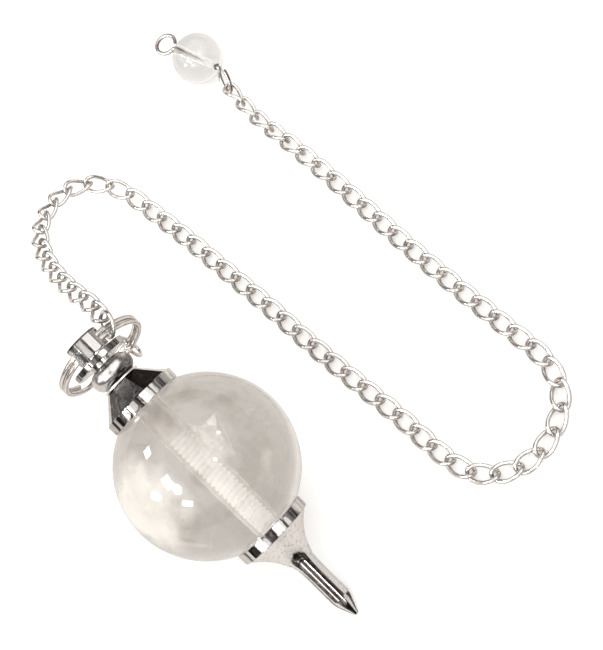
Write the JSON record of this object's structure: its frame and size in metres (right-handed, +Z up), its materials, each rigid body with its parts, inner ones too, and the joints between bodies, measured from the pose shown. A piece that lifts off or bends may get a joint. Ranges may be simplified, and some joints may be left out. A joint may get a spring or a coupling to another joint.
{
  "type": "pendulum pendant",
  "caption": "Dowsing pendulum with a drilled clear stone ball between two plated caps, a long point, a split ring, a twisted link chain and a small end bead, lying on a surface.",
  "frame": {"origin": "middle of the plan, on the surface that the pendulum lies on", "axes": "+X along the pendant from its knob to its point, +Y from the pendant towards the chain's far run, +Z up"},
  "size_m": [0.0722, 0.0444, 0.0202],
  "materials": {
    "clear_quartz": "polished clear quartz with cloudy veils",
    "steel_rod": "plain threaded rod",
    "silver_plate": "bright silver plate on a casting",
    "silver_wire": "bright silver-coloured wire",
    "chain_silver": "bright silver-coloured links"
  },
  "bodies": {
    "root": {"stone_ball": "clear_quartz", "threaded_rod": "steel_rod", "top_cap": "silver_plate", "point_cap": "silver_plate", "split_ring": "silver_wire", "jump_ring": "silver_wire", "spare_ring": "silver_wire", "chain": "chain_silver", "end_bead": "clear_quartz", "eye_pin": "silver_wire"}
  },
  "joints": []
}
